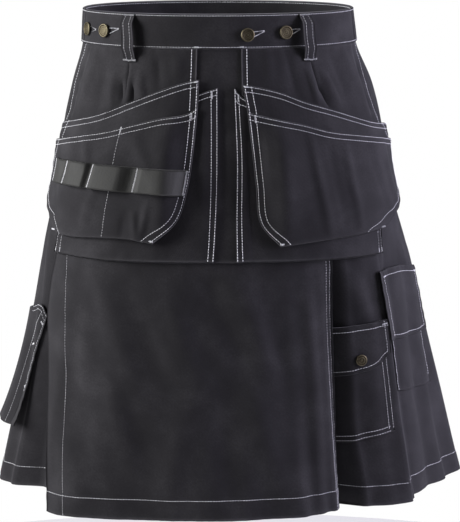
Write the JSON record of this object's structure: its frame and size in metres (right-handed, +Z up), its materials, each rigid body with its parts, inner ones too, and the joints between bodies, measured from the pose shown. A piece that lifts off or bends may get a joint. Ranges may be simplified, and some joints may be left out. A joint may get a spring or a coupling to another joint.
{
  "type": "utility kilt",
  "caption": "Worn utility kilt of canvas with a buttoned waistband, hanging tool pockets, a flat front apron, side pockets and a pleated back, hollow and open at waist and hem.",
  "frame": {"origin": "centre of the waist ring, at half the height of the waistband", "axes": "+Z up along the wearer's body, -Y to the front of the kilt, +X to the wearer's left"},
  "size_m": [0.5984, 0.393, 0.5974],
  "materials": {
    "canvas": "black cotton canvas twill with light grey topstitching",
    "webbing": "black ribbed nylon webbing",
    "antique_brass": "dull antique brass"
  },
  "bodies": {
    "root": {"waistband_front": "canvas", "waistband_back": "canvas", "front_yoke": "canvas", "front_top_right": "canvas", "front_top_left": "canvas", "base_pocket_right": "canvas", "base_pocket_left": "canvas", "holster_back_right": "canvas", "holster_back_left": "canvas", "holster_front_right": "canvas", "holster_front_left": "canvas", "skirt_front": "canvas", "side_panel_right": "canvas", "side_panel_left": "canvas", "back_panel": "canvas", "cargo_pocket": "canvas", "cargo_flap": "canvas", "phone_pocket": "canvas", "phone_flap": "canvas", "ruler_pocket": "canvas", "belt_loop_front_right": "canvas", "belt_loop_front_left": "canvas", "belt_loop_side_left": "canvas", "belt_loop_centre_back": "canvas", "belt_loop_side_right": "canvas", "webbing_right": "webbing", "button_right_outer": "antique_brass", "button_right_inner": "antique_brass", "button_left_inner": "antique_brass", "button_left_outer": "antique_brass", "cargo_snap": "antique_brass"}
  },
  "joints": []
}
